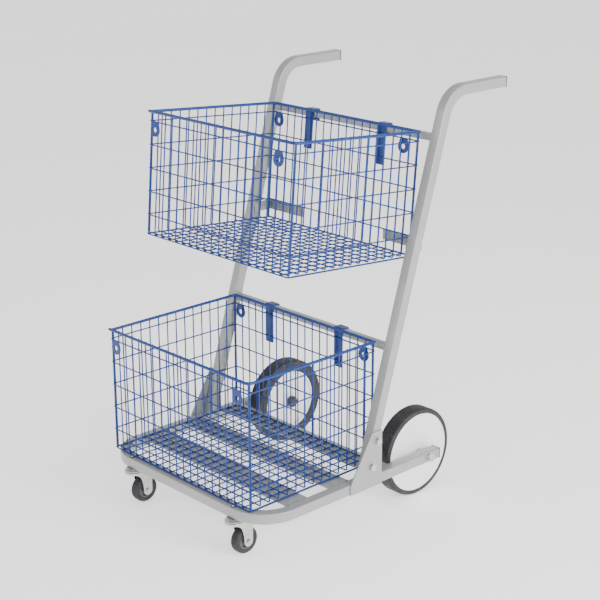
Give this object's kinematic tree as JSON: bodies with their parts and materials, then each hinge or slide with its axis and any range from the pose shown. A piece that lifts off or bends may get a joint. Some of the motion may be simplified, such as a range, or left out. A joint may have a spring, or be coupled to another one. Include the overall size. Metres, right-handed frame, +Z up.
{
  "type": "rolling basket trolley",
  "caption": "Two-tier rolling basket trolley: square-tube frame with leaning handles, lift-off wire baskets, swivel castors in front and large fixed wheels behind.",
  "frame": {"origin": "centre of the bounding box in X and Y, on the floor under the wheels", "axes": "+X to the right as seen from the front (basket side), +Y towards the handles, +Z up"},
  "size_m": [0.582, 0.7785, 0.984],
  "materials": {
    "frame_silver": "satin silver-grey powder coat",
    "black_plastic": "matt moulded",
    "zinc": "bright zinc plate",
    "bearing_steel": "polished",
    "castor_plastic": "moulded",
    "castor_rubber": "ribbed tread",
    "bush_plastic": "acetal",
    "wheel_white": "semi-gloss moulded",
    "rear_rubber": "solid rubber",
    "basket_blue": "gloss epoxy powder coat over wire"
  },
  "bodies": {
    "frame": {"base_frame": "frame_silver", "deck_slat_front": "frame_silver", "deck_slat_middle": "frame_silver", "deck_slat_rear": "frame_silver", "arm_end_plugs": "black_plastic", "gusset_plate_left": "frame_silver", "gusset_plate_right": "frame_silver", "gusset_bolts": "zinc", "upright_left": "frame_silver", "upright_right": "frame_silver", "handle_end_plugs": "black_plastic", "upper_cross_bar": "frame_silver", "lower_cross_bar": "frame_silver", "rest_bracket_left": "frame_silver", "rest_bracket_right": "frame_silver", "castor_kingpins": "zinc", "castor_top_races": "zinc", "rear_axle_bolts": "zinc", "rear_axle_spacers": "zinc", "rear_axle_nuts": "zinc", "rear_axle_caps": "black_plastic"},
    "castor_left": {"castor_balls_left": "bearing_steel", "castor_fork_left": "zinc", "castor_axle_left": "zinc"},
    "castor_wheel_left": {"castor_hub_left": "castor_plastic", "castor_tyre_left": "castor_rubber"},
    "castor_right": {"castor_balls_right": "bearing_steel", "castor_fork_right": "zinc", "castor_axle_right": "zinc"},
    "castor_wheel_right": {"castor_hub_right": "castor_plastic", "castor_tyre_right": "castor_rubber"},
    "rear_wheel_left": {"rear_bush_left": "bush_plastic", "rear_hub_left": "wheel_white", "rear_cover_left": "wheel_white", "rear_tyre_left": "rear_rubber"},
    "rear_wheel_right": {"rear_bush_right": "bush_plastic", "rear_hub_right": "wheel_white", "rear_cover_right": "wheel_white", "rear_tyre_right": "rear_rubber"},
    "lower_basket": {"lower_basket_front": "basket_blue", "lower_basket_back": "basket_blue", "lower_basket_left": "basket_blue", "lower_basket_right": "basket_blue", "lower_basket_floor": "basket_blue", "lower_basket_rim": "basket_blue", "lower_hook_left": "basket_blue", "lower_hook_right": "basket_blue", "lower_eyelet_tabs": "basket_blue"},
    "upper_basket": {"upper_basket_front": "basket_blue", "upper_basket_back": "basket_blue", "upper_basket_left": "basket_blue", "upper_basket_right": "basket_blue", "upper_basket_floor": "basket_blue", "upper_basket_rim": "basket_blue", "upper_hook_left": "basket_blue", "upper_hook_right": "basket_blue", "upper_eyelet_tabs": "basket_blue"}
  },
  "joints": [
    {"name": "castor_swivel_left", "type": "hinge", "parent": "frame", "child": "castor_left", "pos_m": [-0.18, -0.36875, 0.083], "axis": [0, 0, 1], "continuous": true},
    {"name": "castor_roll_left", "type": "hinge", "parent": "castor_left", "child": "castor_wheel_left", "pos_m": [-0.18, -0.33925, 0.032], "axis": [1, 0, 0], "continuous": true},
    {"name": "rear_wheel_roll_left", "type": "hinge", "parent": "frame", "child": "rear_wheel_left", "pos_m": [-0.2235, 0.15825, 0.108], "axis": [1, 0, 0], "continuous": true},
    {"name": "castor_swivel_right", "type": "hinge", "parent": "frame", "child": "castor_right", "pos_m": [0.18, -0.36875, 0.083], "axis": [0, 0, 1], "continuous": true},
    {"name": "castor_roll_right", "type": "hinge", "parent": "castor_right", "child": "castor_wheel_right", "pos_m": [0.18, -0.33925, 0.032], "axis": [1, 0, 0], "continuous": true},
    {"name": "rear_wheel_roll_right", "type": "hinge", "parent": "frame", "child": "rear_wheel_right", "pos_m": [0.2235, 0.15825, 0.108], "axis": [1, 0, 0], "continuous": true},
    {"name": "upper_basket_lift", "type": "slide", "parent": "frame", "child": "upper_basket", "axis": [0, 0.0802, 0.9968], "range_m": [0, 0.35]},
    {"name": "lower_basket_lift", "type": "slide", "parent": "frame", "child": "lower_basket", "axis": [0, 0, 1], "range_m": [0, 0.12]}
  ]
}
